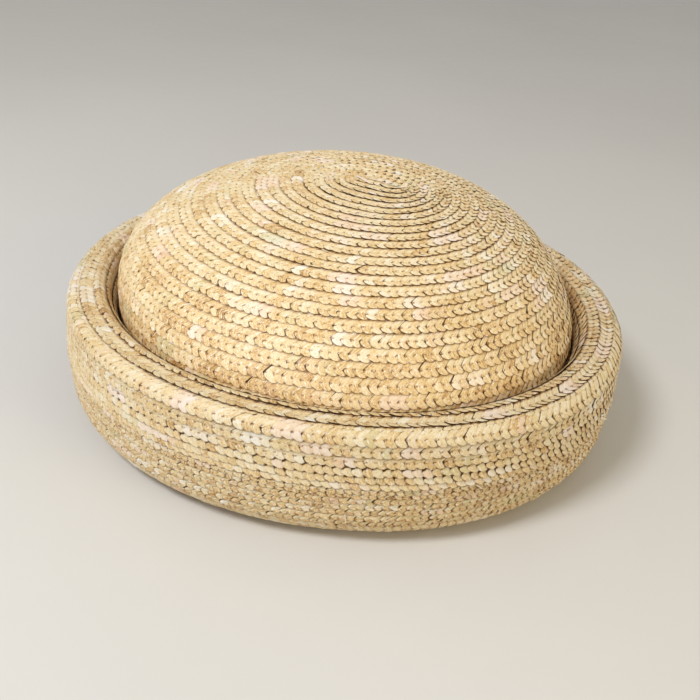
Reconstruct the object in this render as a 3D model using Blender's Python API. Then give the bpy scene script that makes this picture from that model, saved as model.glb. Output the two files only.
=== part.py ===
"""Straw beret: a spiral-sewn crown inside a brim that turns up and rolls over at its lip.

The hat rests on z = 0 with the middle of its plan at the origin. X is the long way across,
and the crown slumps towards +Y. Each row of plait laps over the row below it, so the rows
show as shallow steps on the crown, on the outer wall and over the lip.
"""
import math

import bmesh
import bpy

# Straw, in metres
WALL = 0.002
PLAIT_PITCH = 0.0051
LAP_STEP = 0.0006
SEAM_GAP = 0.0004

# Plan: depth over width, and the exponent of its outline, where 2 is an oval
PLAN_RATIO = 0.95
CROWN_FULLNESS = 2.0
BRIM_FULLNESS = 2.1

# Half widths along X, each one added outside the one before
HEAD_HALF_WIDTH = 0.093
CROWN_SWELL = 0.005
TROUGH_WIDTH = 0.003
ROLL_WIDTH = 0.017

# Heights up the brim's outer wall, each one added above the one before
UNDER_RADIUS = 0.0153
LOWER_WALL_HEIGHT = 0.0127
UPPER_WALL_HEIGHT = 0.017
LIP_RISE = 0.0062

# The rest of the brim
CREASE_BULGE = 0.001
OUTER_SHOULDER = 0.0056
INNER_SHOULDER = 0.0062
TURN_IN_DEPTH = 0.023

# Dome, from the girth to the apex
DOME_HEIGHT = 0.048
DOME_FULLNESS = 2.13
EYE_RADIUS = 0.003

# Slump of the soft dome: its apex moves over, its middle bulges, and its rings tip
APEX_SHIFT = (0.0062, 0.010)
MIDDLE_SHIFT = (-0.005, 0.0045)
RING_TIP = (-0.012, 0.045)
SLUMP_EASE = 0.15

# Rows of plait on each zone of the brim that shows: width as a share of PLAIT_PITCH
ROW_WIDTHS = {
    "lower wall": 0.55,
    "upper wall": 0.66,
    "outer shoulder": 1.70,
    "top": 1.04,
    "inner shoulder": 0.94,
}

# Facets
SEGMENTS = 48
DOME_SAMPLES = 400
DOME_INSIDE_RINGS = 9
COLLAR_RINGS = 5
CORNER_STEPS = 4
ROUND_ROW_STEPS = 2
SHARP_EDGE = math.radians(40)

# Sizes that follow
OPENING_OUTSIDE = HEAD_HALF_WIDTH + WALL
CROWN_HALF_WIDTH = OPENING_OUTSIDE + CROWN_SWELL
ROLL_INSIDE = CROWN_HALF_WIDTH + TROUGH_WIDTH
RIM_HALF_WIDTH = ROLL_INSIDE + ROLL_WIDTH
CREASE_HEIGHT = UNDER_RADIUS + LOWER_WALL_HEIGHT
LIP_HEIGHT = CREASE_HEIGHT + UPPER_WALL_HEIGHT
GIRTH_HEIGHT = LIP_HEIGHT
APEX_HEIGHT = GIRTH_HEIGHT + DOME_HEIGHT

# Looks of the plain solids
STRAW_ROUGHNESS = 0.55
CROWN_COLOUR = (0.80, 0.60, 0.33, 1.0)
BRIM_COLOUR = (0.74, 0.57, 0.33, 1.0)


def clear_scene():
    for old in list(bpy.data.objects):
        bpy.data.objects.remove(old, do_unlink=True)


def straw(name, colour):
    material = bpy.data.materials.new(name)
    material.use_nodes = True
    shader = material.node_tree.nodes["Principled BSDF"]
    shader.inputs["Base Color"].default_value = colour
    shader.inputs["Roughness"].default_value = STRAW_ROUGHNESS
    shader.inputs["Metallic"].default_value = 0.0
    return material


def plan_ring(radius, height, fullness):
    """One ring of the plan, as SEGMENTS points. More fullness makes it squarer."""
    ring = []
    for step in range(SEGMENTS):
        angle = 2 * math.pi * step / SEGMENTS
        across, back = math.cos(angle), math.sin(angle)
        x = radius * math.copysign(abs(across) ** (2 / fullness), across)
        y = radius * PLAN_RATIO * math.copysign(abs(back) ** (2 / fullness), back)
        ring.append((x, y, height))
    return ring


def lengths_along(path):
    """How far along the path each of its (radius, height) points lies."""
    along = [0.0]
    for (r0, z0), (r1, z1) in zip(path, path[1:]):
        along.append(along[-1] + math.hypot(r1 - r0, z1 - z0))
    return along


def point_on(path, distance, inset=0.0):
    """The point at a distance along the path, moved to the path's right by inset."""
    along = lengths_along(path)
    last = len(path) - 2
    index = next((i for i in range(last) if along[i + 1] >= distance), last)
    (r0, z0), (r1, z1) = path[index], path[index + 1]
    span = along[index + 1] - along[index]
    across, up = (r1 - r0) / span, (z1 - z0) / span
    run = distance - along[index]
    return (r0 + run * across + inset * up, z0 + run * up - inset * across)


def dome_path():
    """The dome's outline from the apex down to the girth."""
    path = []
    for step in range(DOME_SAMPLES + 1):
        turn = math.pi / 2 * step / DOME_SAMPLES
        radius = CROWN_HALF_WIDTH * math.sin(turn) ** (2 / DOME_FULLNESS)
        rise = DOME_HEIGHT * max(math.cos(turn), 0.0) ** (2 / DOME_FULLNESS)
        path.append((radius, GIRTH_HEIGHT + rise))
    return path


def collar_radius(height):
    """Outside of the crown below the girth, where it draws in to the head opening."""
    share = height / GIRTH_HEIGHT
    return OPENING_OUTSIDE + CROWN_SWELL * share * share * (3 - 2 * share)


def slumped(points, height):
    """Moves a ring of the crown, whose outside lies at this height, to where it has slumped."""
    share = (height - GIRTH_HEIGHT) / DOME_HEIGHT
    if share < -SLUMP_EASE:
        share = 0.0
    elif share < SLUMP_EASE:
        share = (share + SLUMP_EASE) ** 2 / (4 * SLUMP_EASE)
    middle = 4 * share * (1 - share)
    shift_x, shift_y = (APEX_SHIFT[axis] * share + MIDDLE_SHIFT[axis] * middle for axis in (0, 1))
    moved = []
    for x, y, z in points:
        x += shift_x
        y += shift_y
        moved.append((x, y, z + (RING_TIP[0] * x + RING_TIP[1] * y) * share))
    return moved


def crown_rings():
    """The crown's rings down the outside from the eye, then up the inside."""
    path = dome_path()
    length = lengths_along(path)[-1]
    rows = max(1, round((length - EYE_RADIUS) / PLAIT_PITCH))
    pitch = (length - EYE_RADIUS) / rows
    outside = [(EYE_RADIUS, 0.0)]
    for row in range(rows):
        outside.append((EYE_RADIUS + pitch * row, LAP_STEP))
        outside.append((EYE_RADIUS + pitch * (row + 1), 0.0))
    inside = [(length * (1 - ring / DOME_INSIDE_RINGS), WALL) for ring in range(DOME_INSIDE_RINGS)]

    def dome_ring(distance, inset):
        radius, z = point_on(path, distance, inset)
        return slumped(plan_ring(radius, z, CROWN_FULLNESS), point_on(path, distance)[1])

    def collar_ring(share, inset):
        height = GIRTH_HEIGHT * share
        return slumped(plan_ring(collar_radius(height) - inset, height, CROWN_FULLNESS), height)

    shares = [ring / COLLAR_RINGS for ring in range(COLLAR_RINGS)]
    rings = [dome_ring(*section) for section in outside]
    rings += [collar_ring(share, 0.0) for share in reversed(shares)]
    rings += [collar_ring(share, WALL) for share in shares]
    rings += [dome_ring(*section) for section in inside]
    return rings


def quarter_round(start, end, starts_upright):
    """Points after start, on a quarter of an ellipse that ends level or upright at end."""
    points = []
    for step in range(1, CORNER_STEPS + 1):
        turn = math.pi / 2 * step / CORNER_STEPS
        early, late = math.sin(turn), 1 - math.cos(turn)
        across, up = (late, early) if starts_upright else (early, late)
        points.append((start[0] + (end[0] - start[0]) * across, start[1] + (end[1] - start[1]) * up))
    return points


def brim_zones():
    """The brim's visible side from the head opening out, up, over the lip and down again."""
    seat_start = (OPENING_OUTSIDE + SEAM_GAP, 0.0)
    seat_end = (RIM_HALF_WIDTH - UNDER_RADIUS, 0.0)
    wall_foot = (RIM_HALF_WIDTH, UNDER_RADIUS)
    crease = (RIM_HALF_WIDTH + CREASE_BULGE, CREASE_HEIGHT)
    lip = (RIM_HALF_WIDTH, LIP_HEIGHT)
    top_outside = (RIM_HALF_WIDTH - OUTER_SHOULDER, LIP_HEIGHT + LIP_RISE)
    top_inside = (ROLL_INSIDE + INNER_SHOULDER, LIP_HEIGHT + LIP_RISE)
    roll_inside = (ROLL_INSIDE, LIP_HEIGHT)
    turned_in_edge = (ROLL_INSIDE, LIP_HEIGHT - TURN_IN_DEPTH)
    return {
        "seat": [seat_start, seat_end],
        "under": [seat_end] + quarter_round(seat_end, wall_foot, False),
        "lower wall": [wall_foot, crease],
        "upper wall": [crease, lip],
        "outer shoulder": [lip] + quarter_round(lip, top_outside, True),
        "top": [top_outside, top_inside],
        "inner shoulder": [top_inside] + quarter_round(top_inside, roll_inside, False),
        "inner wall": [roll_inside, turned_in_edge],
    }


def brim_visible_side(zones):
    """The visible side. A row's first edge stands proud, and its last is under the next row."""
    points = [zones["seat"][0]]
    for name, path in zones.items():
        if name not in ROW_WIDTHS:
            points.extend(path[1:])
            continue
        length = lengths_along(path)[-1]
        rows = max(1, round(length / (ROW_WIDTHS[name] * PLAIT_PITCH)))
        steps = ROUND_ROW_STEPS if len(path) > 2 else 1
        for row in range(rows):
            for step in range(1, steps + 1):
                distance = length * (row + step / steps) / rows
                points.append(point_on(path, distance, -LAP_STEP * step / steps))
            points.append(point_on(path, length * (row + 1) / rows))
    return points


def brim_hidden_side(zones):
    """The other side of the same wall, from the turned-in edge back to the head opening."""
    path = [zones["seat"][0]]
    for zone in zones.values():
        path.extend(zone[1:])
    points = []
    for index, (r, z) in enumerate(path):
        before, after = path[max(index - 1, 0)], path[min(index + 1, len(path) - 1)]
        across, up = after[0] - before[0], after[1] - before[1]
        length = math.hypot(across, up)
        points.append((r - WALL * up / length, z + WALL * across / length))
    return points[::-1]


def brim_fullness(radius):
    """The brim follows the crown's oval at the head opening and is squarer at the rim."""
    share = (radius - OPENING_OUTSIDE) / (RIM_HALF_WIDTH - OPENING_OUTSIDE)
    return CROWN_FULLNESS + (BRIM_FULLNESS - CROWN_FULLNESS) * min(max(share, 0.0), 1.0)


def brim_rings():
    zones = brim_zones()
    section = brim_visible_side(zones) + brim_hidden_side(zones)
    return [plan_ring(r, z, brim_fullness(r)) for r, z in section]


def add_solid(name, rings, material, tips=None):
    """A closed solid through rings of points: a tube closed on itself, or closed by two tips."""
    shape = bmesh.new()
    loops = [[shape.verts.new(point) for point in ring] for ring in rings]
    pairs = list(zip(loops, loops[1:]))
    if tips is None:
        pairs.append((loops[-1], loops[0]))
    else:
        for tip, loop in zip(tips, (loops[0], loops[-1])):
            middle = shape.verts.new(tip)
            for step in range(SEGMENTS):
                shape.faces.new((middle, loop[step - 1], loop[step]))
    for first, second in pairs:
        for step in range(SEGMENTS):
            shape.faces.new((first[step - 1], first[step], second[step], second[step - 1]))
    bmesh.ops.triangulate(shape, faces=shape.faces)
    bmesh.ops.recalc_face_normals(shape, faces=shape.faces)
    mesh = bpy.data.meshes.new(name)
    shape.to_mesh(mesh)
    shape.free()
    mesh.materials.append(material)
    mesh.shade_smooth()
    mesh.set_sharp_from_angle(angle=SHARP_EDGE)
    piece = bpy.data.objects.new(name, mesh)
    bpy.context.scene.collection.objects.link(piece)
    return piece


def add_crown():
    rings = crown_rings()
    tips = [slumped([(0.0, 0.0, APEX_HEIGHT - inset)], APEX_HEIGHT)[0] for inset in (0.0, WALL)]
    return add_solid("crown", rings, straw("crown_straw", CROWN_COLOUR), tips)


def add_brim():
    return add_solid("brim", brim_rings(), straw("brim_straw", BRIM_COLOUR))


clear_scene()
add_crown()
add_brim()
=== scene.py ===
"""Straw beret: every strand of its plait laid over the plain crown and brim of the frame.

The plait is sewn in a spiral. Each row shows a line of loops at its lower edge, which stands
proud, and slanting floats above them, which run in under the row above. Lengths are in metres.
"""
import math

import bpy
import numpy as np
from mathutils import Matrix, Vector


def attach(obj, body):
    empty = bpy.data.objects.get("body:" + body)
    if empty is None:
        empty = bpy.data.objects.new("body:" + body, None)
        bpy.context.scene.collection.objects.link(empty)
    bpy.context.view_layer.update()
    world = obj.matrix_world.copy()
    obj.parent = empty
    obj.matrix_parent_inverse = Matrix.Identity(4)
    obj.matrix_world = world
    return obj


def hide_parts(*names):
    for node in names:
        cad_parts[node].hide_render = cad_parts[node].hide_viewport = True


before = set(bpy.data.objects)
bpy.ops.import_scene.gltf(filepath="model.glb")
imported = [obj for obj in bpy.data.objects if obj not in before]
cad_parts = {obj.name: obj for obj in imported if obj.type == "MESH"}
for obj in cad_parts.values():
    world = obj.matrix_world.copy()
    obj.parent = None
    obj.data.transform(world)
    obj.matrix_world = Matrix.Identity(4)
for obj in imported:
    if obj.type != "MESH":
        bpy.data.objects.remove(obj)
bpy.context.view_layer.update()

SEED = 11
rng = np.random.default_rng(SEED)

# Straw wall and plait. Floats reach in under the row above by TUCK, and a row's proud edge
# stands LAP_STEP above its other edge, but for the crown's first turns, which lap over nothing.
WALL = 0.002
PERIOD = 0.00345
FOOT_PERIOD_SHARE = 0.87
ROW_PITCH = 0.00506
LAP_STEP = 0.0006
UNLAPPED_TURNS = 0.2
LEAST_ROW = 0.001
TUCK = 0.0008
# SEAM_SHADE is how far from the row above the painted shadow under its proud edge reaches
SEAM_SHADE = 0.0009
INSIDE_RELIEF = 0.6

# How far the rows stray from their place, as sewn by hand
ROW_WANDER = 0.00012
WANDERS_A_TURN = 24

# Plan
PLAN_RATIO = 0.95
CROWN_FULLNESS = 2.0
BRIM_FULLNESS = 2.1
SEAM_GAP = 0.0004

# The crown's outline
OPENING_OUTSIDE = 0.095
CROWN_SWELL = 0.005
CROWN_HALF_WIDTH = OPENING_OUTSIDE + CROWN_SWELL
GIRTH_HEIGHT = 0.045
DOME_HEIGHT = 0.048
DOME_FULLNESS = 2.13
APEX_SHIFT = (0.0062, 0.010)
MIDDLE_SHIFT = (-0.005, 0.0045)
RING_TIP = (-0.012, 0.045)
SLUMP_EASE = 0.15

# The eye is longer than it is wide, and its long way is turned a little from X
EYE_ROW = 0.003
EYE_STRETCH = 0.007
EYE_REACH = 0.028
EYE_TURN = math.radians(-16)
EYE_BLUNTNESS = 2.5

# The brim's outline
ROLL_INSIDE = CROWN_HALF_WIDTH + 0.003
RIM_HALF_WIDTH = ROLL_INSIDE + 0.017
UNDER_RADIUS = 0.0153
CREASE_HEIGHT = UNDER_RADIUS + 0.0127
LIP_HEIGHT = CREASE_HEIGHT + 0.017
LIP_RISE = 0.0062
CREASE_BULGE = 0.001
OUTER_SHOULDER = 0.0056
INNER_SHOULDER = 0.0062
TURN_IN_DEPTH = 0.023

# How far the soft roll swells off its outline, by distance from the head opening
ROLL_STATIONS = (0.0765, 0.0785, 0.0873, 0.0925, 0.1100)
ROLL_SWELLS = (0.0, 0.0009, 0.0013, 0.0036, 0.0046)

# How finely the outlines are drawn
OUTLINE_STEP = 0.0004
DOME_POINTS = 1500
COLLAR_POINTS = 200
QUARTER_POINTS = 60

# Where the brim's outline bends, by distance from the head opening, and where the rows of its
# foot lie between the seat and the crease
SEAT_LENGTH = RIM_HALF_WIDTH - UNDER_RADIUS - OPENING_OUTSIDE - SEAM_GAP
FOOT_DISTANCE = SEAT_LENGTH + UNDER_RADIUS * math.pi / 2
CREASE_DISTANCE = FOOT_DISTANCE + math.hypot(CREASE_HEIGHT - UNDER_RADIUS, CREASE_BULGE)
CREASE_MARGIN = 0.0008
FOOT_ROWS = (0.0265, CREASE_DISTANCE - CREASE_MARGIN)

# Seams at the front: the crown's by distance from the apex, down to the head opening, and the
# brim's by distance from the head opening
INSIDE_TURNS = 33
CROWN_SEAMS = [0.0] + [EYE_ROW + ROW_PITCH * row for row in range(INSIDE_TURNS + 1)]
BRIM_SEAMS = [
    0.0, 0.0046, 0.0092, 0.0134, 0.0174, 0.0210, 0.0243, 0.0275, 0.0306, 0.0335, 0.0363, 0.0391,
    0.0418, 0.0439, 0.0461, 0.0487, 0.0518, 0.0550, 0.0592, 0.0639, 0.0722, 0.0776, 0.0824, 0.0873,
    0.0920, 0.0970, 0.1020, 0.1065, 0.1100,
]

# Turns of the spiral at which the runs of plait start and end, and how far two runs overlap.
# The crown's outside ends low in the trough beside the brim's roll, its inside at the opening.
FIRST_TURN = -0.65
CROWN_TURNS = 27
WALL_TURNS = 18.0
LIP_TURNS = len(BRIM_SEAMS) - 1.5
RUN_OVERLAP = 0.008
STEPS_A_TURN = 240

# The share of a turn in which the seam moves to the next row, at some rows of the spiral
JOG_ROWS = (0, 3, 7)
CROWN_JOGS = (1.0, 1.0, 0.5)
BRIM_JOGS = (0.5, 0.5, 0.5)

# Core behind the plait
CORE_OUTSIDE = -0.00125
CORE_INSIDE = -0.0014
CORE_SPOKES = 120
CORE_APEX = 0.0006
CROWN_CORE_RINGS = 60
BRIM_CORE_RINGS = 80

# Facets of the plait. start and end are (periods along the row, metres up from its proud
# edge), width is in periods, top is the rise in the middle, tilt lifts the left edge, dip
# sinks the (start, end), blunt narrows the end, corner rounds it, bow curves the sides, nip
# cuts the first left corner, in periods, ridge is the rise along the left side and edge is
# how much of the painted shade along its sides shows. tone is how much lighter the facet is
# than its row; the rope's is partly a painted highlight.
FACETS = {
    "loop": dict(start=(-0.40, 0.0027), end=(0.10, 0.0000), width=1.05, top=0.00020, tilt=0.00011,
                 dip=(0.00014, 0.00012), base=0.0, blunt=0.18, corner=0.00038, bow=0.05, nip=0.36,
                 ridge=0.0, edge=0.92, tone=0.0, steps=4, splits=3),
    "float": dict(start=(-0.46, 0.0021), end=(0.60, 0.0057), width=1.08, top=0.00016, tilt=0.00009,
                  dip=(0.00024, 0.00006), base=-0.00006, blunt=0.0, corner=0.0, bow=0.0, nip=0.14,
                  ridge=0.0, edge=0.84, tone=0.02, steps=3, splits=4),
    "crest": dict(start=(0.06, 0.0074), end=(-0.36, 0.0054), width=1.06, top=0.00014, tilt=0.00008,
                  dip=(0.00006, 0.00014), base=-0.00004, blunt=0.1, corner=0.0, bow=0.0, nip=0.1,
                  ridge=0.0, edge=0.9, tone=0.0, steps=3, splits=3),
    "pebble": dict(start=(-0.46, 0.0031), end=(0.12, 0.0000), width=1.10, top=0.00014, tilt=0.00028,
                   dip=(0.00026, 0.00008), base=0.00004, blunt=0.10, corner=0.00034, bow=0.05,
                   nip=0.52, ridge=0.0, edge=1.0, tone=0.03, steps=4, splits=3),
    "rope": dict(start=(-0.36, 0.0008), end=(0.30, 0.0029), width=1.04, top=0.00008, tilt=0.00008,
                 dip=(0.00006, 0.00024), base=0.00002, blunt=0.1, corner=0.0, bow=-0.03, nip=0.10,
                 ridge=0.00046, edge=0.96, tone=0.10, steps=3, splits=4),
    "twist": dict(start=(-0.28, 0.0014), end=(0.04, 0.0000), width=0.98, top=0.00018, tilt=0.00012,
                  dip=(0.00020, 0.00008), base=0.0, blunt=0.14, corner=0.00022, bow=0.03, nip=0.24,
                  ridge=0.0, edge=0.98, tone=-0.08, steps=3, splits=3),
}
COARSE_GRID = (2, 2)
SHORTEST_FACET = 0.0004
NIP_LENGTH = 0.35
TOP_BULGE = 0.8
RIDGE_ACROSS = (-1, -0.5, 0, 1)
RIDGE_RISES = (0, 1, 0.35, 0)
BAKE_MARGIN = 0.08

# How far facets stray from each other, in metres, and in width and relief as shares
CENTRE_JITTER = 0.00010
END_JITTER = 0.00021
HEIGHT_JITTER = 0.00013
LIFT_JITTER = 0.00006
WIDTH_JITTER = 0.06
RELIEF_JITTER = 0.16

# Which facets a row of the brim shows, by how much of the row is in sight
WIDE_ROW = 0.0075
WIDE_STRETCH = 1.18
NARROW_ROW = 0.0036
NARROW_BLEND = 0.0001
NARROWEST_ROW = 0.0011

# Near the eye, the painted shadow under the row above is weaker
EYE_SHADE_TURNS = (0, 9)
EYE_SHADES = (0.5, 1.0)

# How the straw's look changes along each outline: its warmth, and the painted shade that darkens it
LOOK_COLUMNS = ("distance", "warmth", "painted_shade")
CROWN_LOOKS = [
    (0.000, 0.15, 0.00),
    (0.085, 0.10, 0.00),
    (0.118, 0.65, 0.00),
    (0.140, 1.00, 0.02),
]
BRIM_LOOKS = [
    (0.0000, 0.00, 0.14),
    (0.0430, -0.20, 0.15),
    (0.0470, -0.10, 0.06),
    (0.0600, 0.00, 0.01),
    (0.0715, 0.15, 0.00),
    (0.0745, 0.80, 0.00),
    (0.0850, 1.00, 0.00),
    (0.1100, 1.00, 0.00),
]

# Tone and hue of the strands: the middle, the slow drift along a row, the spread from period
# to period and from facet to facet, and what warmth adds
TONE_MIDDLE = 0.54
TONE_DRIFT = 0.16
DRIFT_PERIODS = 5
TONE_SPREAD = 0.06
FACET_TONE_SPREAD = 0.075
DARKEST_TONE = 0.02
WARM_TONE = -0.18
HUE_SPREAD = 0.22
WARM_HUE = 0.12

# Patches of strands that differ: the chance that one starts at a period, in plain and in warm
# straw, its most periods, and its tones and hues
BLEACHED_PATCH = dict(chance=0.085, most=4, lighter=(0.02, 0.34), hues=(0.85, 0.5, -0.1))
GREEN_PATCH = dict(chance=0.020, most=3, hue=(-0.8, -0.4))
BROWN_PATCH = dict(chance=0.014, warm_chance=0.03, most=2, darker=(0.08, 0.18), hue=(0.0, 0.4))

# Loose straw ends: how they are built, the ranges of those that stick out of the seams at
# random, with the heading's middle and spread, and the ones that have a place of their own
END_STEPS = 6
END_ROOT = -0.0002
END_CURL = 1.6
END_TAPER = 0.65
END_ARCH = 0.12
# END_EDGE is how much of the painted shade along the sides of a loose end shows
END_EDGE = 0.9
SCATTERED_ENDS = 70
CROWN_END_TURNS = (1.0, 26.5)
WALL_END_TURNS = (8.0, 17.5)
SCATTER = dict(up=(-0.0003, 0.0006), length=(0.0016, 0.0042), heading=(-0.25, 0.3),
               stand=(0.0001, 0.0007), width=(0.0003, 0.0007), tone=(0.55, 1.0), hue=(-0.3, 0.5))
END_COLUMNS = ("turn", "up", "length", "heading", "stand", "width", "tone", "hue")
FRAYED_END = [
    (15.164, 0.0014, 0.0030, 0.20, 0.0018, 0.0012, 1.00, 0.1),
    (15.164, 0.0009, 0.0024, -0.40, 0.0020, 0.0010, 1.00, 0.0),
    (15.165, 0.0018, 0.0032, 0.75, 0.0010, 0.0007, 0.98, 0.2),
    (15.163, 0.0004, 0.0020, -1.00, 0.0009, 0.0006, 0.92, 0.0),
]
STRAND_COLUMNS = ("start", "middle", "end", "width", "tone", "hue")
EYE_STRANDS = [
    ((-0.0014, 0.0136, 0.0937), (0.0010, 0.0104, 0.0942), (0.0042, 0.0066, 0.0934), 0.0019, 0.96, 0.9),
    ((0.0160, 0.0066, 0.0931), (0.0190, 0.0072, 0.0937), (0.0212, 0.0086, 0.0929), 0.0012, 1.00, 0.1),
    ((0.0030, 0.0128, 0.0937), (0.0065, 0.0108, 0.0940), (0.0100, 0.0100, 0.0934), 0.0014, 0.72, -0.4),
]

# How far off a surface a second point is taken to find which way is out
FACET_PROBE = 0.0001
END_PROBE = 0.001

# Straw colours from old brown to bleached, what the hue pulls them towards, and each piece's painted
# shade
STRAW_TONES = [
    (0.00, (0.32, 0.165, 0.050)),
    (0.18, (0.62, 0.375, 0.140)),
    (0.38, (0.80, 0.570, 0.265)),
    (0.58, (0.88, 0.700, 0.400)),
    (0.78, (0.93, 0.810, 0.560)),
    (1.00, (0.96, 0.920, 0.810)),
]
# White of the painted glints, which stand in for highlights
GLINT_WHITE = (0.97, 0.91, 0.78, 1.0)
PINK = (0.94, 0.68, 0.56, 1.0)
GREEN = (0.62, 0.60, 0.32, 1.0)
# Brown of the painted shade that the marks below multiply in, and of the straw's own specks
SHADE_AND_SPECK_BROWN = (0.34, 0.190, 0.070, 1.0)
# Painted shade of each piece: the brim and the crown's inside are darker copies of the straw
CROWN_SHADE = (1.0, 1.0, 1.0, 1.0)
BRIM_SHADE = (0.88, 0.885, 0.90, 1.0)
INSIDE_SHADE = (0.90, 0.88, 0.84, 1.0)

# Noises of the straw. Those of fibres run along each facet, with a fineness across it and
# along it, and the others fill the space around.
FIBRES = {
    "streak": dict(across=3.2, along=0.9, detail=3.0, roughness=0.6),
    "fine": dict(across=11.0, along=1.6, detail=2.0, roughness=0.55),
    "glint": dict(across=3.4, along=2.4, detail=1.0, roughness=0.5),
}
FIBRE_OFFSETS = (91.0, 37.0, 53.0)
CLOUDS = {
    "cloud": dict(scale=38.0, detail=2.0, roughness=0.5),
    "speck": dict(scale=900.0, detail=1.0, roughness=0.5),
    "fleck": dict(scale=1500.0, detail=2.0, roughness=0.6),
}

# How much each noise adds to the straw's tone, roughness and relief
NOISE_MIDDLE = 0.5
TONE_WEIGHTS = dict(streak=0.80, fine=0.60, cloud=0.20, fleck=0.95)
ROUGH_WEIGHTS = dict(streak=0.30, fine=0.16)
ROUGH_BASE = 0.22
RELIEF_WEIGHTS = dict(streak=0.6, fine=0.4)
RELIEF = dict(Strength=0.75, Distance=0.00026)
SPECULAR = 0.5

# Ranges of a measure of the facet, or of a noise, and of the share of a mark that they give:
# (from low, from high, to low, to high). A mark with two ranges is as strong as both together.
# The marks are painted shade: edge along a facet's right side, which runs under its neighbour, root near
# its start on the left, where the nip leaves a hole, tip at the corners of its end, and seam the shadow
# under the proud edge of the row above, darkest between facets.
MARKS = {
    "edge": dict(across=(0.72, 0.98, 0.0, 0.62)),
    "root": dict(along=(0.06, 0.32, 1.0, 0.0), left=(0.20, 0.75, 0.0, 1.0)),
    "tip": dict(along=(0.74, 0.98, 0.0, 0.9), off_middle=(0.45, 0.85, 0.0, 1.0)),
    "seam": dict(under_row_shade=(0.22, 0.90, 0.0, 0.96), off_middle=(0.15, 0.75, 0.72, 1.0)),
}
PINK_RANGE = (0.15, 1.0, 0.0, 0.45)
GREEN_RANGE = (0.15, 1.0, 0.0, 0.55)
SPECK_RANGE = (0.66, 0.76, 0.0, 0.5)
# Painted highlights: glints of white along the fibres
GLINT_RANGE = (0.57, 0.72, 0.0, 0.85)

# The core's straw, whose dark colour is painted shade for the gaps between the facets
CORE_TONES = [(0.3, (0.10, 0.055, 0.020)), (0.7, (0.24, 0.140, 0.055))]
CORE_LIGHT = (0.30, 0.19, 0.08, 1.0)
CORE_PATCHES = dict(scale=260.0, detail=3.0, roughness=0.6)
CORE_GRAIN = dict(scale=1400.0, detail=2.0, roughness=0.5)
CORE_LIGHT_RANGE = (0.45, 0.7, 0.0, 0.5)
CORE_ROUGH_RANGE = (0.2, 0.8, 0.6, 0.85)
CORE_RELIEF = dict(Strength=0.5, Distance=0.0002)

# Floor
FLOOR_SIZE = 8.0
FLOOR_TONES = [(0.3, (0.66, 0.65, 0.63)), (0.7, (0.70, 0.69, 0.67))]
FLOOR_TINT = dict(scale=3.0, detail=3.0, roughness=0.5)
FLOOR_GRAIN = dict(scale=60.0, detail=2.0, roughness=0.5)
FLOOR_ROUGH_RANGE = (0.3, 0.7, 0.6, 0.75)

# Lights, which all point at one place, and the world around
LIGHT_TARGET = (0, 0, 0.04)
LIGHT_COLUMNS = ("name", "place", "size", "power", "colour")
LIGHTS = [
    ("key light", (-0.45, -0.45, 0.85), 0.30, 6.35, (0.99, 0.99, 1.0)),
    ("fill light", (0.8, -0.6, 0.5), 0.6, 2.9, (1.0, 0.78, 0.36)),
    ("low light", (-0.75, -0.35, 0.16), 0.3, 0.32, (0.96, 1.0, 0.98)),
]
WORLD_COLOUR = (1.0, 0.975, 0.93, 1.0)
WORLD_STRENGTH = 0.47

# Camera: how far it looks down, how it is rolled, and where the target lies in the 700 px frame
CAMERA_DOWN = math.radians(27.196)
CAMERA_ROLL = math.radians(-5.854)
CAMERA_DISTANCE = 0.38095
CAMERA_TARGET = Vector((0, 0, 0.045))
CAMERA_REACH = (0.01, 20.0)
FOCAL_PIXELS = 850.0
FRAME_PIXELS = 700
TARGET_PIXEL = (348.875, 290.805)
SENSOR_WIDTH = 36.0


def plan(radius, angle, fullness):
    """A point of the plan, a rounded oval, as far out as radius on its long way."""
    across, back = np.cos(angle), np.sin(angle)
    x = radius * np.sign(across) * np.abs(across) ** (2 / fullness)
    y = radius * PLAN_RATIO * np.sign(back) * np.abs(back) ** (2 / fullness)
    return x, y


def slumped(x, y, z, height):
    """Where the soft crown's points have slumped to, for an outside that lies at this height."""
    share = (height - GIRTH_HEIGHT) / DOME_HEIGHT
    eased = (share + SLUMP_EASE) ** 2 / (4 * SLUMP_EASE)
    share = np.where(share < -SLUMP_EASE, 0.0, np.where(share < SLUMP_EASE, eased, share))
    middle = 4 * share * (1 - share)
    x = x + APEX_SHIFT[0] * share + MIDDLE_SHIFT[0] * middle
    y = y + APEX_SHIFT[1] * share + MIDDLE_SHIFT[1] * middle
    return x, y, z + (RING_TIP[0] * x + RING_TIP[1] * y) * share


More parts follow.
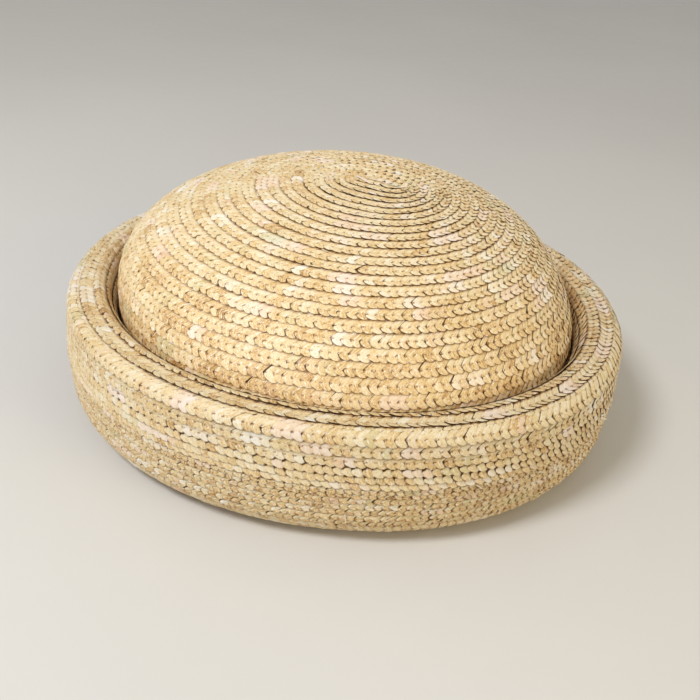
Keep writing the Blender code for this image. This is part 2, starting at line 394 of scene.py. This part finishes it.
class Surface:
    """An outline swept round the plan. Points lie at an angle, a distance along it and a lift off it."""

    def __init__(self, outline, visible_left, is_crown):
        outline = np.array(outline)
        raw = np.concatenate([[0], np.cumsum(np.hypot(*np.diff(outline, axis=0).T))])
        self.along = np.arange(0, raw[-1], OUTLINE_STEP)
        self.radius = np.interp(self.along, raw, outline[:, 0])
        self.height = np.interp(self.along, raw, outline[:, 1])
        out, up = np.gradient(self.radius), np.gradient(self.height)
        size = np.hypot(out, up) * (1 if visible_left else -1)
        self.normal = (-up / size, out / size)
        self.length = self.along[-1]
        self.is_crown = is_crown

    def place(self, angle, distance, lift):
        radius, height, out, up = (
            np.interp(distance, self.along, values)
            for values in (self.radius, self.height, *self.normal)
        )
        if not self.is_crown:
            share = (radius - OPENING_OUTSIDE) / (RIM_HALF_WIDTH - OPENING_OUTSIDE)
            fullness = CROWN_FULLNESS + (BRIM_FULLNESS - CROWN_FULLNESS) * np.clip(share, 0, 1)
            lift = lift + np.interp(distance, ROLL_STATIONS, ROLL_SWELLS)
            x, y = plan(radius + lift * out, angle, fullness)
            return np.stack([x, y, np.maximum(height + lift * up, 0.0)], -1)
        x, y = plan(radius + lift * out, angle, CROWN_FULLNESS)
        long_way = np.tanh(EYE_BLUNTNESS * np.cos(angle - EYE_TURN)) * EYE_STRETCH
        long_way *= np.exp(-((radius / EYE_REACH) ** 2)) * (height > GIRTH_HEIGHT)
        x = x + long_way * math.cos(EYE_TURN)
        y = y + long_way * math.sin(EYE_TURN)
        x, y, z = slumped(x, y, height + lift * up, height)
        return np.stack([x, y, np.maximum(z, 0.0)], -1)


def crown_outline():
    """The crown's outside from the apex down to the head opening."""
    turn = np.linspace(0, math.pi / 2, DOME_POINTS)
    dome = np.stack([
        CROWN_HALF_WIDTH * np.sin(turn) ** (2 / DOME_FULLNESS),
        GIRTH_HEIGHT + DOME_HEIGHT * np.maximum(np.cos(turn), 0) ** (2 / DOME_FULLNESS),
    ], 1)
    share = np.linspace(1, 0, COLLAR_POINTS)[1:]
    collar = np.stack([
        OPENING_OUTSIDE + CROWN_SWELL * share * share * (3 - 2 * share),
        GIRTH_HEIGHT * share,
    ], 1)
    return np.concatenate([dome, collar])


def quarter(start, end, starts_upright):
    """A quarter of an ellipse from start to end, without its first point."""
    turn = np.linspace(0, math.pi / 2, QUARTER_POINTS)[1:]
    early, late = np.sin(turn), 1 - np.cos(turn)
    across, up = (late, early) if starts_upright else (early, late)
    points = np.stack([start[0] + (end[0] - start[0]) * across, start[1] + (end[1] - start[1]) * up], 1)
    return [tuple(point) for point in points]


def brim_outline():
    """The brim's visible side from the head opening out, up, over the lip and down again."""
    start = (OPENING_OUTSIDE + SEAM_GAP, 0.0)
    seat_end = (RIM_HALF_WIDTH - UNDER_RADIUS, 0.0)
    foot = (RIM_HALF_WIDTH, UNDER_RADIUS)
    crease = (RIM_HALF_WIDTH + CREASE_BULGE, CREASE_HEIGHT)
    lip = (RIM_HALF_WIDTH, LIP_HEIGHT)
    top_outside = (RIM_HALF_WIDTH - OUTER_SHOULDER, LIP_HEIGHT + LIP_RISE)
    top_inside = (ROLL_INSIDE + INNER_SHOULDER, LIP_HEIGHT + LIP_RISE)
    roll_inside = (ROLL_INSIDE, LIP_HEIGHT)
    edge = (ROLL_INSIDE, LIP_HEIGHT - TURN_IN_DEPTH)
    return (
        [start, seat_end] + quarter(seat_end, foot, False) + [crease, lip]
        + quarter(lip, top_outside, True) + [top_inside]
        + quarter(top_inside, roll_inside, False) + [edge]
    )


def in_foot(distance):
    """Whether a row at this distance from the head opening lies between the seat and the crease."""
    return (distance > FOOT_ROWS[0]) & (distance < FOOT_ROWS[1])


def sewn(seams, jogs):
    """How far along the outline the seam lies after some turns of the spiral.

    It keeps level round the front and moves to the next row at the back, within a share of
    the turn that jogs gives for the first row, the rows near the eye and all later rows.
    """
    seams = np.array(seams)

    def distance(turns):
        whole = np.clip(np.floor(turns), 0, len(seams) - 2).astype(int)
        jog = np.interp(whole, JOG_ROWS, jogs)
        share = np.clip((turns - whole - 0.5) / jog + 0.5, 0, 1)
        return seams[whole] + (seams[whole + 1] - seams[whole]) * share
    return distance


def wander(turns):
    """How far a row strays from its place, as sewn by hand."""
    knots = rng.normal(0, ROW_WANDER, int((turns[-1] - turns[0]) * WANDERS_A_TURN) + 3)
    return np.interp((turns - turns[0]) * WANDERS_A_TURN, np.arange(len(knots)), knots)


class Run:
    """A spiral of plait on a surface, from one turn to another. Angle -90 degrees is a whole turn.

    cover is the length along the run at each of its turns, and periods is how many periods of
    the plait lie before it. What at stands for is a length along the run too.
    """

    def __init__(self, surface, seam, proud_is_far, first, last, inside=False):
        self.surface = surface
        self.inside = inside
        self.turns = np.linspace(first, last, int((last - first) * STEPS_A_TURN) + 2)
        near, far = seam(self.turns), seam(self.turns + 1)
        self.proud = (far if proud_is_far else near) + wander(self.turns)
        self.way = -1 if proud_is_far else 1
        self.row = far - near
        middle = surface.place(self.angle(self.turns), (near + far) / 2, 0.0)
        steps = np.linalg.norm(np.diff(middle, axis=0), axis=1)
        self.cover = np.concatenate([[0], np.cumsum(steps)])
        on_foot = in_foot(self.proud) & (not surface.is_crown)
        self.period = PERIOD * np.where(on_foot, FOOT_PERIOD_SHARE, 1.0)
        self.periods = np.concatenate([[0], np.cumsum(steps / self.period[1:])])

    @staticmethod
    def angle(turns):
        return 2 * math.pi * turns - math.pi / 2

    def read(self, values, at):
        """What one of the run's lists of values says at a length along it."""
        return np.interp(at, self.cover, values)

    def centres(self):
        """Where the middles of the periods lie, as lengths along the run."""
        count = int(self.periods[-1])
        return np.interp((np.arange(count) + 0.5) * self.periods[-1] / count, self.periods, self.cover)

    def place(self, at, up, lift):
        """Points at a length along the run and up from its proud edge, with lift towards the viewer."""
        turns = self.read(self.turns, at)
        distance = self.read(self.proud, at) + self.way * up
        lap = LAP_STEP * np.clip(turns - UNLAPPED_TURNS, 0, 1) if self.surface.is_crown else LAP_STEP
        lift = lift - lap * up / np.maximum(self.read(self.row, at), LEAST_ROW)
        if self.inside:
            lift = -WALL - lift * INSIDE_RELIEF
        return self.surface.place(self.angle(turns), distance, lift)


class Bundle:
    """Facets gathered for one mesh, with what the straw material reads from each point."""

    def __init__(self):
        self.points, self.faces, self.places, self.looks, self.cells = [], [], [], [], []
        self.count = 0
        self.facets = 0

    def add(self, points, place, look, steps, splits, flip):
        """points is facets x grid x 3, on a grid of steps + 1 by splits + 1."""
        facets, grid = points.shape[:2]
        index = np.arange(grid).reshape(steps + 1, splits + 1)
        corners = [index[:-1, :-1], index[1:, :-1], index[1:, 1:], index[:-1, 1:]]
        quads = np.stack([corner.ravel() for corner in (corners[::-1] if flip else corners)], 1)
        offsets = self.count + np.arange(facets)[:, None, None] * grid
        self.faces.append((quads[None] + offsets).reshape(-1, 4))
        self.points.append(points.reshape(-1, 3))
        self.places.append(place.reshape(-1, 3))
        self.looks.append(look.reshape(-1, 3))
        self.cells.append(np.repeat(self.facets + np.arange(facets), grid))
        self.count += facets * grid
        self.facets += facets

    def bake_map(self, cells, places):
        """A square cell of the picture for each facet, so that no two facets share paint."""
        side = math.ceil(math.sqrt(self.facets))
        u = (cells % side + 0.5 + (0.5 - BAKE_MARGIN) * places[:, 0]) / side
        v = (cells // side + BAKE_MARGIN + (1 - 2 * BAKE_MARGIN) * places[:, 1]) / side
        return np.stack([u, v], 1)

    def object(self, name, material):
        points, faces, places, looks, cells = (
            np.concatenate(values)
            for values in (self.points, self.faces, self.places, self.looks, self.cells)
        )
        mesh = bpy.data.meshes.new(name)
        mesh.vertices.add(len(points))
        mesh.vertices.foreach_set("co", points.astype(np.float32).ravel())
        mesh.loops.add(faces.size)
        mesh.loops.foreach_set("vertex_index", faces.astype(np.int32).ravel())
        mesh.polygons.add(len(faces))
        mesh.polygons.foreach_set("loop_start", np.arange(0, faces.size, 4, dtype=np.int32))
        mesh.update(calc_edges=True)
        mesh.polygons.foreach_set("use_smooth", np.ones(len(faces), dtype=bool))
        for label, values in (("straw_place", places), ("straw_look", looks)):
            layer = mesh.attributes.new(label, "FLOAT_VECTOR", "POINT")
            layer.data.foreach_set("vector", values.astype(np.float32).ravel())
        layer = mesh.uv_layers.new(name="OFBake")
        uv = self.bake_map(cells, places)[faces.ravel()]
        layer.data.foreach_set("uv", uv.astype(np.float32).ravel())
        return linked(name, mesh, material)


def linked(name, mesh, material):
    mesh.materials.append(material)
    piece = bpy.data.objects.new(name, mesh)
    bpy.context.scene.collection.objects.link(piece)
    return piece


def strand_looks(distance, table):
    """A tone from 0 brown to 1 bleached, and a hue from -1 green to 1 pink, for each period."""
    count = len(distance)
    columns = dict(zip(LOOK_COLUMNS, np.array(table).T))
    warmth, painted_shade = (np.interp(distance, columns["distance"], columns[name]) for name in ("warmth", "painted_shade"))
    knots = rng.random(count // DRIFT_PERIODS + 3)
    drift = np.interp(np.arange(count), np.arange(len(knots)) * DRIFT_PERIODS, knots) - 0.5
    tone = TONE_MIDDLE + TONE_DRIFT * drift + rng.normal(0, TONE_SPREAD, count)
    # Painted shade from the looks table makes the tone darker
    tone = tone + WARM_TONE * warmth - painted_shade
    hue = rng.normal(0, HUE_SPREAD, count) + WARM_HUE * warmth

    def patches(chance, most):
        for start in np.flatnonzero(rng.random(count) < chance):
            yield slice(start, start + rng.integers(1, most + 1))

    for patch in patches(BLEACHED_PATCH["chance"], BLEACHED_PATCH["most"]):
        tone[patch] += rng.uniform(*BLEACHED_PATCH["lighter"], len(tone[patch]))
        hue[patch] = rng.choice(BLEACHED_PATCH["hues"])
    for patch in patches(GREEN_PATCH["chance"], GREEN_PATCH["most"]):
        hue[patch] = rng.uniform(*GREEN_PATCH["hue"])
    brown_chance = BROWN_PATCH["chance"] + BROWN_PATCH["warm_chance"] * warmth
    for patch in patches(brown_chance, BROWN_PATCH["most"]):
        tone[patch] -= rng.uniform(*BROWN_PATCH["darker"])
        hue[patch] = rng.uniform(*BROWN_PATCH["hue"])
    return tone, np.clip(hue, -1, 1)


def lay(bundle, run, kind, centres, looks, stretch=1.0, coarse=False):
    """Lays one facet of a kind at each centre along the run."""
    facet = FACETS[kind]
    steps, splits = COARSE_GRID if coarse else (facet["steps"], facet["splits"])
    visible = run.read(run.row, centres)[:, None]
    grid = np.meshgrid(np.linspace(0, 1, steps + 1), np.linspace(-1, 1, splits + 1), indexing="ij")
    along, across = (values.ravel()[None] for values in grid)

    def jitter(spread):
        return rng.normal(0, spread, (len(centres), 1))

    period = run.read(run.period, centres)[:, None]
    first, last = (facet[end][0] * period + jitter(END_JITTER) for end in ("start", "end"))
    low, high = (facet[end][1] * stretch + jitter(HEIGHT_JITTER) for end in ("start", "end"))
    if facet["start"][1] < facet["end"][1]:
        reach = np.maximum(np.minimum(high, visible + TUCK), low + SHORTEST_FACET)
        last = first + (last - first) * (reach - low) / (high - low)
        high = reach
    half = period / 2 * facet["width"] * (1 + jitter(WIDTH_JITTER))
    half = half * np.sqrt(1 - facet["blunt"] * np.clip(2 * along - 1, 0, 1) ** 2)
    nip = facet["nip"] * np.clip(-across, 0, 1) * np.clip(1 - along / NIP_LENGTH, 0, 1)
    at = centres[:, None] + first + (last - first) * along + across * half
    at = at + period * (nip - facet["bow"] * np.sin(math.pi * along))
    up = low + (high - low) * along + facet["corner"] * np.abs(across) ** 3 * along**2
    lift = facet["base"] + facet["top"] * (TOP_BULGE - across**2) - facet["tilt"] * across
    lift = lift - facet["dip"][0] * (1 - along) ** 3 - facet["dip"][1] * along**3
    lift = lift + facet["ridge"] * np.interp(across, RIDGE_ACROSS, RIDGE_RISES)
    lift = lift * (1 + jitter(RELIEF_JITTER)) + jitter(LIFT_JITTER) - facet["top"] - facet["ridge"] / 2
    points = run.place(at, up, lift)

    # Painted shadow under the proud edge of the row above, on the part of the facet that runs in under it
    under_row_shade = np.clip(1 - (visible - up) / SEAM_SHADE, 0, 1)
    if run.surface.is_crown:
        turns = run.read(run.turns, centres)
        under_row_shade = under_row_shade * np.interp(turns, EYE_SHADE_TURNS, EYE_SHADES)[:, None]
    place = np.stack(np.broadcast_arrays(across * facet["edge"], along, under_row_shade), -1)
    look = np.repeat(np.stack(looks, -1)[:, None], along.size, 1)
    outward = run.place(at[:1], up[:1], lift[:1] + FACET_PROBE) - points[:1]
    columns = splits + 1
    middle = columns + columns // 2
    corner, ahead, aside = (points[0, middle + offset] for offset in (0, columns, 1))
    face = np.cross(ahead - corner, aside - corner)
    bundle.add(points, place, look, steps, splits, face @ outward[0, middle] < 0)


def plait(name, run, material, table, kinds_at, coarse=False):
    """One piece of plait over a whole run. kinds_at says which facets the rows show at each centre."""
    bundle = Bundle()
    centres = run.centres()
    count = len(centres)
    centres = centres + rng.normal(0, CENTRE_JITTER, count)
    distance = run.read(run.proud, centres)
    visible = run.read(run.row, centres)
    tone, hue = strand_looks(distance, table)
    for kind, stretch, chosen in kinds_at(distance, visible):
        keep = chosen & (visible > NARROWEST_ROW)
        if keep.any():
            tones = np.clip(tone + rng.normal(0, FACET_TONE_SPREAD, count), DARKEST_TONE, 1)
            tones = np.clip(tones + FACETS[kind]["tone"], DARKEST_TONE, 1)
            looks = [values[keep] for values in (rng.random(count), tones, hue)]
            lay(bundle, run, kind, centres[keep], looks, stretch, coarse)
    return bundle.object(name, material)


def plain_rows(distance, visible):
    """Floats and loops all along the crown's rows."""
    everywhere = np.ones(len(distance), dtype=bool)
    return [("float", 1.0, everywhere), ("loop", 1.0, everywhere)]


def brim_rows(distance, visible):
    """Rope-like rows below the crease, pebble-like loops above it, and the full plait on wide rows."""
    foot = in_foot(distance)
    wide = visible > WIDE_ROW
    narrow = ~foot & (visible < NARROW_ROW)
    plain = ~foot & ~wide & (visible > NARROW_ROW - NARROW_BLEND)
    return [
        ("crest", WIDE_STRETCH, wide),
        ("float", WIDE_STRETCH, wide),
        ("float", 1.0, plain),
        ("loop", WIDE_STRETCH, wide),
        ("loop", 1.0, plain),
        ("pebble", 1.0, narrow),
        ("rope", 1.0, foot),
        ("twist", 1.0, foot),
    ]


def ribbon(bundle, path, normals, width, tone, hue):
    """A flat straw along a path, narrowing to its end."""
    across = np.array([-1.0, 0.0, 1.0])
    steps, splits = len(path) - 1, len(across) - 1
    along = np.linspace(0, 1, steps + 1)
    side = np.cross(np.gradient(path, axis=0), normals)
    side /= np.linalg.norm(side, axis=1)[:, None]
    half = width / 2 * (1 - END_TAPER * along**3)
    points = path[:, None] + side[:, None] * (half[:, None] * across)[..., None]
    points = points + normals[:, None] * (END_ARCH * half[:, None] * (1 - across**2))[..., None]
    grid_along, grid_across = np.repeat(along, splits + 1), np.tile(across, steps + 1)
    place = np.stack([grid_across * END_EDGE, grid_along, np.zeros_like(grid_along)], -1)
    look = np.tile([rng.random(), tone, hue], (len(grid_along), 1))
    bundle.add(points.reshape(1, -1, 3), place[None], look[None], steps, splits, False)


def loose_end(bundle, run, turn, up, length, heading, stand, width, tone, hue):
    """A straw end that leaves the plait at a turn and height of a run, and stands off it at its tip."""
    along = np.linspace(0, 1, END_STEPS + 1)
    at = np.interp(turn, run.turns, run.cover) + length * np.cos(heading) * along
    height = up + length * np.sin(heading) * along
    lift = END_ROOT + stand * along**END_CURL
    path = run.place(at, height, lift)
    normals = run.place(at, height, lift + END_PROBE) - path
    normals /= np.linalg.norm(normals, axis=1)[:, None]
    ribbon(bundle, path, normals, width, tone, hue)


def strand(bundle, start, middle, end, width, tone, hue):
    """A flat straw that lies on the crown, bowed through points given in the frame."""
    along = np.linspace(0, 1, END_STEPS + 1)[:, None]
    start, middle, end = (np.array(point) for point in (start, middle, end))
    path = start * (1 - along) ** 2 + 2 * middle * along * (1 - along) + end * along**2
    ribbon(bundle, path, np.tile([0.0, 0.0, 1.0], (END_STEPS + 1, 1)), width, tone, hue)


def loose_ends(name, material, run, turns, chosen=(), strands=()):
    """Short ends that stick out of the seams at random, and the ends and strands of two tables."""
    bundle = Bundle()

    def drawn(*keys):
        return {key: rng.uniform(*SCATTER[key]) for key in keys}

    for _ in range(SCATTERED_ENDS):
        turn = rng.uniform(*turns)
        end = drawn("up", "length")
        heading = rng.normal(*SCATTER["heading"]) + math.pi * rng.integers(0, 2)
        end |= drawn("stand", "width", "tone", "hue")
        loose_end(bundle, run, turn, heading=heading, **end)
    for row in chosen:
        loose_end(bundle, run, **dict(zip(END_COLUMNS, row)))
    for row in strands:
        strand(bundle, **dict(zip(STRAND_COLUMNS, row)))
    return bundle.object(name, material)


def shell(name, surface, distances, outside, inside, material):
    """The core behind the plait: a thin closed wall that follows the surface."""
    angles = np.arange(CORE_SPOKES) * 2 * math.pi / CORE_SPOKES
    sections = [(distance, outside) for distance in distances]
    sections += [(distance, inside) for distance in distances[::-1]]
    rings = np.stack([
        surface.place(angles, np.full(CORE_SPOKES, distance), np.full(CORE_SPOKES, lift))
        for distance, lift in sections
    ])
    count = len(rings)
    faces = []
    closed = not surface.is_crown
    for ring in range(count if closed else count - 1):
        after = (ring + 1) % count
        for spoke in range(CORE_SPOKES):
            turned = (spoke + 1) % CORE_SPOKES
            faces.append([ring * CORE_SPOKES + spoke, ring * CORE_SPOKES + turned,
                          after * CORE_SPOKES + turned, after * CORE_SPOKES + spoke])
    if not closed:
        faces.append(list(range(CORE_SPOKES)))
        faces.append(list(range((count - 1) * CORE_SPOKES, count * CORE_SPOKES))[::-1])
    mesh = bpy.data.meshes.new(name)
    mesh.from_pydata(rings.reshape(-1, 3).tolist(), [], faces)
    mesh.shade_smooth()
    return linked(name, mesh, material)


class Nodes:
    """Short calls that add nodes to a material and join them."""

    def __init__(self, name):
        self.material = bpy.data.materials.new(name)
        self.material.use_nodes = True
        self.tree = self.material.node_tree
        self.shader = self.tree.nodes["Principled BSDF"]

    def add(self, kind, inputs=None, **settings):
        node = self.tree.nodes.new(kind)
        for key, value in settings.items():
            setattr(node, key, value)
        for key, value in (inputs or {}).items():
            self.feed(node.inputs[key], value)
        return node

    def feed(self, socket, value):
        if isinstance(value, bpy.types.NodeSocket):
            self.tree.links.new(value, socket)
        else:
            socket.default_value = value

    def shade(self, **inputs):
        """Feeds inputs of the shader, with their spaces written as underscores."""
        for key, value in inputs.items():
            self.feed(self.shader.inputs[key.replace("_", " ")], value)

    def around(self):
        return self.add("ShaderNodeTexCoord").outputs["Object"]

    def read(self, attribute):
        """The three values of a mesh attribute."""
        vector = self.add("ShaderNodeAttribute", attribute_name=attribute).outputs["Vector"]
        return self.add("ShaderNodeSeparateXYZ", {0: vector}).outputs

    def math(self, operation, first, second=0.0):
        return self.add("ShaderNodeMath", {0: first, 1: second}, operation=operation).outputs[0]

    def mix(self, share, first, second, blend="MIX"):
        node = self.add("ShaderNodeMix", data_type="RGBA", blend_type=blend)
        for socket, value in ((node.inputs[0], share), (node.inputs[6], first), (node.inputs[7], second)):
            self.feed(socket, value)
        return node.outputs[2]

    def noise(self, vector, scale, detail, roughness):
        node = self.add("ShaderNodeTexNoise", {
            "Vector": vector, "Scale": scale, "Detail": detail, "Roughness": roughness,
        })
        return node.outputs[0]

    def bump(self, height, relief):
        return self.add("ShaderNodeBump", {**relief, "Height": height}).outputs[0]

    def ramp(self, share, stops):
        node = self.add("ShaderNodeValToRGB", {"Fac": share})
        elements = node.color_ramp.elements
        while len(elements) < len(stops):
            elements.new(0.5)
        for element, (position, colour) in zip(elements, stops):
            element.position = position
            element.color = (*colour, 1.0)
        return node.outputs[0]

    def ranged(self, value, low, high, to_low, to_high):
        node = self.add("ShaderNodeMapRange", {
            "Value": value, "From Min": low, "From Max": high, "To Min": to_low, "To Max": to_high,
        }, interpolation_type="SMOOTHSTEP")
        return node.outputs[0]


def straw(name, shade):
    """Straw that reads where a point lies on its facet, and the facet's own seed, tone and hue."""
    nodes = Nodes(name)
    across, along, under_row_shade = nodes.read("straw_place")
    seed, tone, hue = nodes.read("straw_look")
    around = nodes.around()

    def fibre(fineness, length):
        """Coordinates that run along the facet, and differ from facet to facet."""
        offsets = [nodes.math("MULTIPLY", seed, offset) for offset in FIBRE_OFFSETS]
        vector = nodes.add("ShaderNodeCombineXYZ", {
            0: nodes.math("ADD", nodes.math("MULTIPLY", across, fineness), offsets[0]),
            1: nodes.math("ADD", nodes.math("MULTIPLY", along, length), offsets[1]),
            2: offsets[2],
        })
        return vector.outputs[0]

    noises = {
        key: nodes.noise(fibre(row["across"], row["along"]), 1.0, row["detail"], row["roughness"])
        for key, row in FIBRES.items()
    }
    noises.update({key: nodes.noise(around, **row) for key, row in CLOUDS.items()})

    def weighed(weights, middle=0.0):
        total = 0.0
        for key, weight in weights.items():
            part = nodes.math("MULTIPLY", nodes.math("SUBTRACT", noises[key], middle), weight)
            total = nodes.math("ADD", total, part)
        return total

    measures = {
        "across": across,
        "left": nodes.math("MULTIPLY", across, -1.0),
        "off_middle": nodes.math("ABSOLUTE", across),
        "along": along,
        "under_row_shade": under_row_shade,
    }
    green_hue = nodes.math("MULTIPLY", hue, -1.0)
    colour = nodes.ramp(nodes.math("ADD", tone, weighed(TONE_WEIGHTS, NOISE_MIDDLE)), STRAW_TONES)
    colour = nodes.mix(nodes.ranged(hue, *PINK_RANGE), colour, PINK)
    colour = nodes.mix(nodes.ranged(green_hue, *GREEN_RANGE), colour, GREEN)
    # Painted shade: each mark darkens the colour towards brown in gaps, holes and under the row above
    for mark in MARKS.values():
        share = 1.0
        for measure, limits in mark.items():
            share = nodes.math("MULTIPLY", share, nodes.ranged(measures[measure], *limits))
        colour = nodes.mix(share, colour, SHADE_AND_SPECK_BROWN, "MULTIPLY")
    colour = nodes.mix(nodes.ranged(noises["speck"], *SPECK_RANGE), colour, SHADE_AND_SPECK_BROWN)
    # Painted highlights: glints of white along the fibres
    colour = nodes.mix(nodes.ranged(noises["glint"], *GLINT_RANGE), colour, GLINT_WHITE)
    # The piece's painted shade multiplies the colour
    nodes.shade(
        Base_Color=nodes.mix(1.0, colour, shade, "MULTIPLY"),
        Roughness=nodes.math("ADD", weighed(ROUGH_WEIGHTS), ROUGH_BASE),
        Specular_IOR_Level=SPECULAR,
        Normal=nodes.bump(weighed(RELIEF_WEIGHTS), RELIEF),
    )
    return nodes.material


def core_straw(name):
    """The straw behind the plait that shows between the facets, in a dark colour that paints the shade of
    those gaps.
    """
    nodes = Nodes(name)
    around = nodes.around()
    grain = nodes.noise(around, **CORE_GRAIN)
    colour = nodes.ramp(nodes.noise(around, **CORE_PATCHES), CORE_TONES)
    nodes.shade(
        Base_Color=nodes.mix(nodes.ranged(grain, *CORE_LIGHT_RANGE), colour, CORE_LIGHT),
        Roughness=nodes.ranged(grain, *CORE_ROUGH_RANGE),
        Normal=nodes.bump(grain, CORE_RELIEF),
    )
    return nodes.material


def floor_material():
    nodes = Nodes("floor")
    around = nodes.around()
    nodes.shade(
        Base_Color=nodes.ramp(nodes.noise(around, **FLOOR_TINT), FLOOR_TONES),
        Roughness=nodes.ranged(nodes.noise(around, **FLOOR_GRAIN), *FLOOR_ROUGH_RANGE),
    )
    return nodes.material


def floor():
    bpy.ops.mesh.primitive_plane_add(size=FLOOR_SIZE, location=(0, 0, 0))
    plane = bpy.context.object
    plane.name = "floor"
    plane.data.materials.append(floor_material())


def area_light(name, place, size, power, colour):
    lamp = bpy.data.lights.new(name, "AREA")
    lamp.shape = "DISK"
    lamp.size = size
    lamp.energy = power
    lamp.color = colour
    light = bpy.data.objects.new(name, lamp)
    light.location = place
    light.rotation_euler = (Vector(LIGHT_TARGET) - Vector(place)).to_track_quat("-Z", "Y").to_euler()
    bpy.context.scene.collection.objects.link(light)


def studio():
    """Lights, a soft even world, and colours shown as they are."""
    for row in LIGHTS:
        area_light(**dict(zip(LIGHT_COLUMNS, row)))
    world = bpy.data.worlds.new("soft studio")
    world.use_nodes = True
    background = world.node_tree.nodes["Background"]
    background.inputs["Color"].default_value = WORLD_COLOUR
    background.inputs["Strength"].default_value = WORLD_STRENGTH
    bpy.context.scene.world = world
    bpy.context.scene.view_settings.view_transform = "Standard"


def camera():
    """A camera at the photo's viewing angle, turned so that the target lies at its pixel."""
    right = Vector((1, 0, 0))
    back = Vector((0, -math.cos(CAMERA_DOWN), math.sin(CAMERA_DOWN)))
    looking = Matrix((right, right.cross(-back), -back))
    rolled = Matrix.Rotation(CAMERA_ROLL, 3, "Z")
    middle = FRAME_PIXELS / 2
    aside, down = ((pixel - middle) / FOCAL_PIXELS for pixel in TARGET_PIXEL)
    aim = Vector((aside, -down, 1)).rotation_difference(Vector((0, 0, 1))).to_matrix()
    to_world = looking.transposed() @ rolled.transposed() @ aim
    axes = [to_world @ Vector(axis) for axis in ((1, 0, 0), (0, 1, 0), (0, 0, 1))]
    lens = bpy.data.cameras.new("camera")
    lens.sensor_width = SENSOR_WIDTH
    lens.lens = SENSOR_WIDTH * FOCAL_PIXELS / FRAME_PIXELS
    lens.clip_start, lens.clip_end = CAMERA_REACH
    view = bpy.data.objects.new("camera", lens)
    turned = Matrix((axes[0], axes[1], -axes[2])).transposed()
    view.matrix_world = Matrix.Translation(CAMERA_TARGET + back * CAMERA_DISTANCE) @ turned.to_4x4()
    bpy.context.scene.collection.objects.link(view)
    bpy.context.scene.camera = view


# Materials
crown_straw = straw("crown straw", CROWN_SHADE)
brim_straw = straw("brim straw", BRIM_SHADE)
inside_straw = straw("crown inside straw", INSIDE_SHADE)
core_material = core_straw("straw core")

# Surfaces, and the runs of plait on them
crown_surface = Surface(crown_outline(), True, True)
brim_surface = Surface(brim_outline(), False, False)
crown_seam = sewn(CROWN_SEAMS, CROWN_JOGS)
brim_seam = sewn(BRIM_SEAMS, BRIM_JOGS)
crown_run = Run(crown_surface, crown_seam, True, FIRST_TURN, CROWN_TURNS)
inside_run = Run(crown_surface, crown_seam, False, FIRST_TURN, INSIDE_TURNS, inside=True)
wall_run = Run(brim_surface, brim_seam, False, FIRST_TURN, WALL_TURNS)
lip_run = Run(brim_surface, brim_seam, False, WALL_TURNS - RUN_OVERLAP, LIP_TURNS)

# Crown
crown_pieces = [
    plait("crown_plait", crown_run, crown_straw, CROWN_LOOKS, plain_rows),
    plait("crown_inside_plait", inside_run, inside_straw, CROWN_LOOKS, plain_rows, coarse=True),
    loose_ends("crown_loose_ends", crown_straw, crown_run, CROWN_END_TURNS, strands=EYE_STRANDS),
    shell("crown_core", crown_surface, np.linspace(CORE_APEX, crown_surface.length, CROWN_CORE_RINGS),
          CORE_OUTSIDE, CORE_INSIDE, core_material),
]

# Brim
brim_pieces = [
    plait("brim_wall_plait", wall_run, brim_straw, BRIM_LOOKS, brim_rows),
    plait("brim_lip_plait", lip_run, brim_straw, BRIM_LOOKS, brim_rows),
    loose_ends("brim_loose_ends", brim_straw, wall_run, WALL_END_TURNS, chosen=FRAYED_END),
    shell("brim_core", brim_surface, np.linspace(0.0, brim_surface.length, BRIM_CORE_RINGS),
          CORE_OUTSIDE, -WALL, core_material),
]

for node, slot, pieces in (("crown", "crown_straw", crown_pieces), ("brim", "brim_straw", brim_pieces)):
    for piece in pieces:
        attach(piece, "root")
        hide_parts(node)

floor()
studio()
camera()
